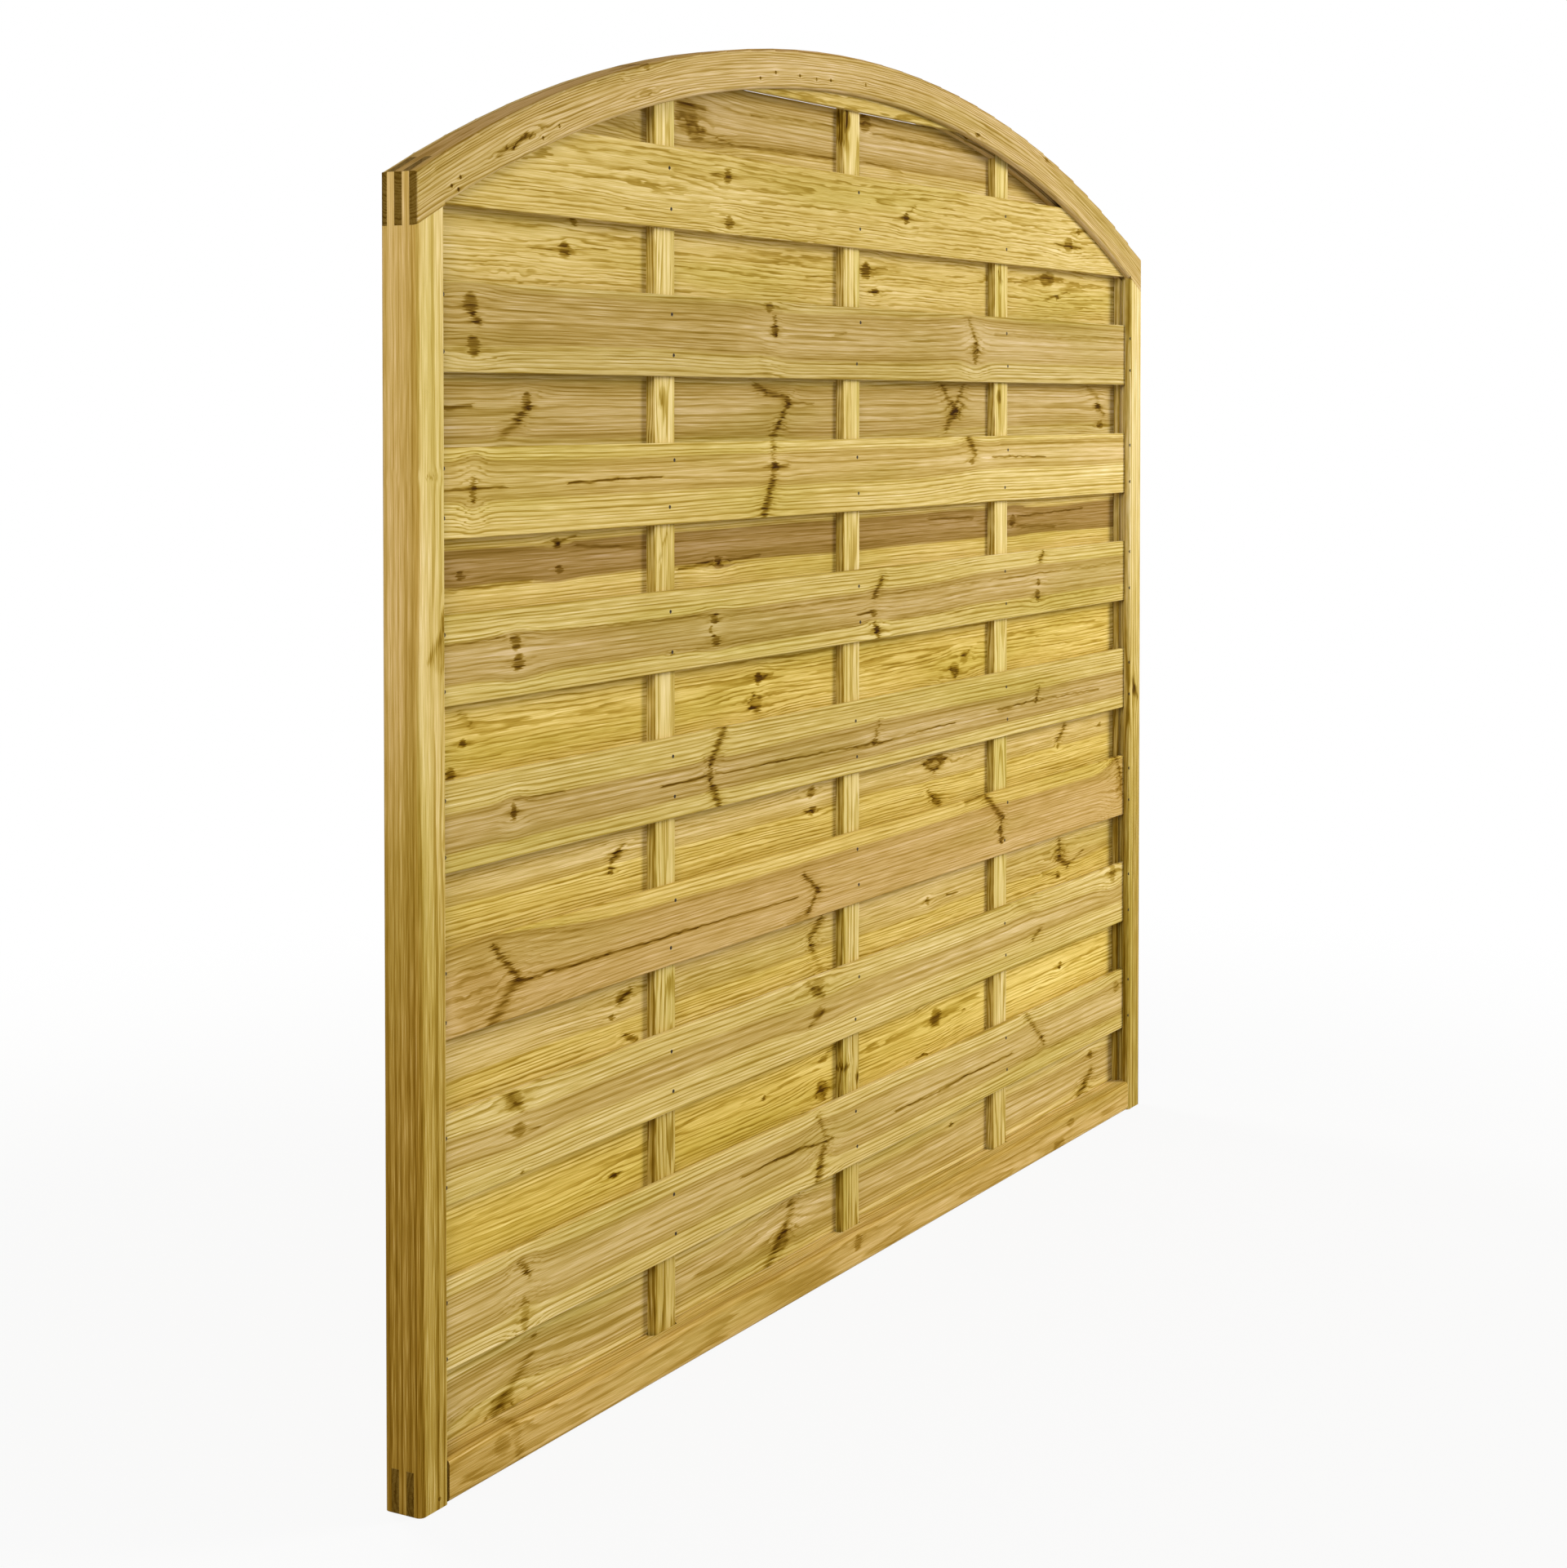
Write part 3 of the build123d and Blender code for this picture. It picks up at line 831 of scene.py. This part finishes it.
class FENCE_OT_brads(bpy.types.Operator):
    """Drive the brads through the slats into the battens and through the frame's lips into the slat ends"""

    bl_idname = "fence.brads"
    bl_label = "Brads"

    def execute(self, context):
        sizes = context.scene.fence_brads
        steel = self.steel(sizes)
        pattern = self.one_head(sizes)
        places = {"front_brads": [], "back_brads": [], "stile_brads": []}
        lip_front = CAD_BOX[0][1]
        for node in SLATS:
            if node == "crown_slat":
                continue
            low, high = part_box(node)
            front = node.startswith("front")
            number = int(node.rsplit("_", 1)[1])
            surface = low.y if front else high.y
            for column in range(3):
                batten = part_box(f"batten_{column + 1}")
                middle = (batten[0].x + batten[1].x) / 2
                for row, share in enumerate(BATTEN_ROWS):
                    sway = ((number * 7 + column * 5 + row * 3) % 11 - 5) * MM
                    x = middle + BATTEN_ASIDE + 1.2 * sway
                    z = low.z + share * SLAT_HEIGHT + 0.6 * sway
                    places["front_brads" if front else "back_brads"].append((x, surface, z, front))
            for side in (-1, 1) if high.z < BELOW_ARCH else ():
                for row, share in enumerate(END_ROWS):
                    sway = ((number * 5 + side + row * 4) % 7 - 3) * MM
                    z = low.z + share * SLAT_HEIGHT + sway
                    edge = lip_front + LIP_SINK
                    places["stile_brads"].append((side * LIP_MIDDLE, edge if front else -edge, z, front))
        for name, spots in places.items():
            self.group(name, pattern, spots, sizes, steel)
        bpy.data.objects.remove(pattern, do_unlink=True)
        return {"FINISHED"}

    def one_head(self, sizes):
        """One head facing the front: a disc with an eased rim and a small punch mark."""
        bpy.ops.object.select_all(action="DESELECT")
        bpy.ops.mesh.primitive_cylinder_add(
            vertices=sizes.sides, radius=sizes.head_radius, depth=sizes.head_height, rotation=(radians(90), 0, 0)
        )
        head = bpy.context.object
        bpy.ops.object.transform_apply(location=False, rotation=True, scale=False)
        bpy.ops.object.mode_set(mode="EDIT")
        bpy.ops.mesh.select_all(action="DESELECT")
        bpy.ops.object.mode_set(mode="OBJECT")
        for face in head.data.polygons:
            face.select = face.normal.y < -0.9
        bpy.ops.object.mode_set(mode="EDIT")
        bpy.ops.mesh.select_mode(type="FACE")
        bpy.ops.mesh.inset(thickness=sizes.head_radius * 0.22, depth=sizes.head_height * 0.2)
        bpy.ops.mesh.inset(thickness=sizes.head_radius * 0.3, depth=-sizes.head_height * 0.25)
        bpy.ops.object.mode_set(mode="OBJECT")
        return head

    def group(self, name, pattern, spots, sizes, steel):
        """Copies of one head, joined as one piece."""
        bpy.ops.object.select_all(action="DESELECT")
        copies = []
        for x, surface, z, front in spots:
            head = pattern.copy()
            head.data = pattern.data.copy()
            bpy.context.collection.objects.link(head)
            outward = -1 if front else 1
            head.rotation_euler = (0, 0, 0 if front else radians(180))
            head.location = (x, surface + outward * (sizes.proud - sizes.head_height * 0.7), z)
            head.select_set(True)
            copies.append(head)
        bpy.context.view_layer.objects.active = copies[0]
        bpy.ops.object.join()
        piece = bpy.context.object
        bpy.ops.object.transform_apply(location=True, rotation=True, scale=True)
        piece.name = name
        piece.data.name = name
        piece.data.materials.clear()
        piece.data.materials.append(steel)
        bpy.ops.object.shade_smooth_by_angle(angle=radians(35))
        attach(piece, "root")

    def steel(self, sizes):
        """Dull steel, stained by the treated wood."""
        material = bpy.data.materials.new("brad steel")
        material.use_nodes = True
        material.node_tree.nodes.clear()
        n = Nodes(material.node_tree)
        place = n.vector("MULTIPLY", n.add("ShaderNodeTexCoord").outputs["Object"], (700, 700, 700))
        stain = n.noise(place, 3.0, 0.6)
        shader = n.add("ShaderNodeBsdfPrincipled")
        steel = tuple(sizes.steel_colour)
        rust = from_screen(48, 36, 18)
        n.feed(shader.inputs["Base Color"], n.mix(n.step(stain, 0.35, 0.65), (*steel, 1), (*rust, 1)))
        n.feed(shader.inputs["Roughness"], n.step(stain, 0.3, 0.7, 0.45, 0.7))
        shader.inputs["Metallic"].default_value = 0.6
        n.feed(n.add("ShaderNodeOutputMaterial").inputs["Surface"], shader.outputs[0])
        return material


class FENCE_OT_stage(bpy.types.Operator):
    """Set up the floor, the light and the camera"""

    bl_idname = "fence.stage"
    bl_label = "Stage"

    def execute(self, context):
        stage = context.scene.fence_stage
        self.floor(stage)
        self.sky(context.scene, stage)
        powers = (stage.key_power, stage.fill_power, stage.back_power)
        for (name, place, target, size), power in zip(LAMPS, powers):
            self.lamp(name, place, target, size, power)
        lens = bpy.data.cameras.new("camera")
        lens.sensor_width = 36.0
        lens.lens = stage.lens
        lens.shift_y = stage.shift
        camera = bpy.data.objects.new("camera", lens)
        context.collection.objects.link(camera)
        camera.location = stage.camera_place
        camera.rotation_euler = (stage.camera_tilt, 0, -stage.camera_turn)
        context.scene.camera = camera
        context.scene.view_settings.view_transform = "Standard"
        return {"FINISHED"}

    def lamp(self, name, place, target, size, power):
        lamp = bpy.data.lights.new(name, "AREA")
        lamp.shape = "DISK"
        lamp.size = size
        lamp.energy = power
        item = bpy.data.objects.new(name, lamp)
        bpy.context.collection.objects.link(item)
        item.location = place
        item.rotation_euler = (Vector(target) - Vector(place)).to_track_quat("-Z", "Y").to_euler()

    def seen(self, n):
        """1 for what the camera, a reflection or glass sees."""
        path = n.add("ShaderNodeLightPath").outputs
        mirrored = n.math("MAXIMUM", path["Is Glossy Ray"], path["Is Transmission Ray"])
        return n.math("MAXIMUM", path["Is Camera Ray"], mirrored)

    def floor(self, stage):
        bpy.ops.object.select_all(action="DESELECT")
        bpy.ops.mesh.primitive_circle_add(
            vertices=64, radius=FLOOR_RADIUS, fill_type="NGON", location=(0, 0, FLOOR_HEIGHT)
        )
        floor = bpy.context.object
        floor.name = "floor"
        material = bpy.data.materials.new("pale floor")
        material.use_nodes = True
        material.node_tree.nodes.clear()
        n = Nodes(material.node_tree)
        matt = n.add("ShaderNodeBsdfDiffuse")
        matt.inputs["Color"].default_value = (*stage.floor_colour, 1)
        white = n.add("ShaderNodeEmission")
        white.inputs["Color"].default_value = (1, 1, 1, 1)
        both = n.add("ShaderNodeMixShader")
        away = n.vector("LENGTH", n.add("ShaderNodeTexCoord").outputs["Object"])
        n.feed(both.inputs[0], n.math("MULTIPLY", self.seen(n), n.step(away, *WHITE_FROM, *WHITE_SHARE)))
        n.feed(both.inputs[1], matt.outputs[0])
        n.feed(both.inputs[2], white.outputs[0])
        n.feed(n.add("ShaderNodeOutputMaterial").inputs["Surface"], both.outputs[0])
        floor.data.materials.append(material)

    def sky(self, scene, stage):
        world = bpy.data.worlds.new("studio")
        world.use_nodes = True
        world.node_tree.nodes.clear()
        n = Nodes(world.node_tree)
        around = n.add("ShaderNodeBackground")
        around.inputs["Strength"].default_value = stage.sky
        white = n.add("ShaderNodeBackground")
        white.inputs["Strength"].default_value = 1.0
        for part in (around, white):
            part.inputs["Color"].default_value = (1, 1, 1, 1)
        both = n.add("ShaderNodeMixShader")
        n.feed(both.inputs[0], self.seen(n))
        n.feed(both.inputs[1], around.outputs[0])
        n.feed(both.inputs[2], white.outputs[0])
        n.feed(n.add("ShaderNodeOutputWorld").inputs["Surface"], both.outputs[0])
        scene.world = world


class FENCE_PT_panel(bpy.types.Panel):
    """Lists the steps that dress the fence panel"""

    bl_idname = "FENCE_PT_panel"
    bl_label = "Fence Panel"
    bl_space_type = "VIEW_3D"
    bl_region_type = "UI"
    bl_category = "Fence"

    def draw(self, context):
        for settings in (context.scene.fence_timber, context.scene.fence_brads, context.scene.fence_stage):
            box = self.layout.box()
            for name in settings.bl_rna.properties.keys():
                if name not in ("rna_type", "name"):
                    box.prop(settings, name)
        for step in STEPS:
            self.layout.operator(step.bl_idname)


SETTINGS = {"fence_timber": TimberLooks, "fence_brads": BradSizes, "fence_stage": StageSettings}
STEPS = (FENCE_OT_frame, FENCE_OT_battens, FENCE_OT_slats, FENCE_OT_brads, FENCE_OT_stage)


def register():
    for cls in (*SETTINGS.values(), *STEPS, FENCE_PT_panel):
        bpy.utils.register_class(cls)
    for name, cls in SETTINGS.items():
        setattr(bpy.types.Scene, name, PointerProperty(type=cls))


def unregister():
    for name in SETTINGS:
        delattr(bpy.types.Scene, name)
    for cls in (FENCE_PT_panel, *reversed(STEPS), *SETTINGS.values()):
        bpy.utils.unregister_class(cls)


def main():
    register()
    bpy.ops.fence.frame()
    bpy.ops.fence.battens()
    bpy.ops.fence.slats()
    bpy.ops.fence.brads()
    bpy.ops.fence.stage()


if __name__ == "__main__":
    main()
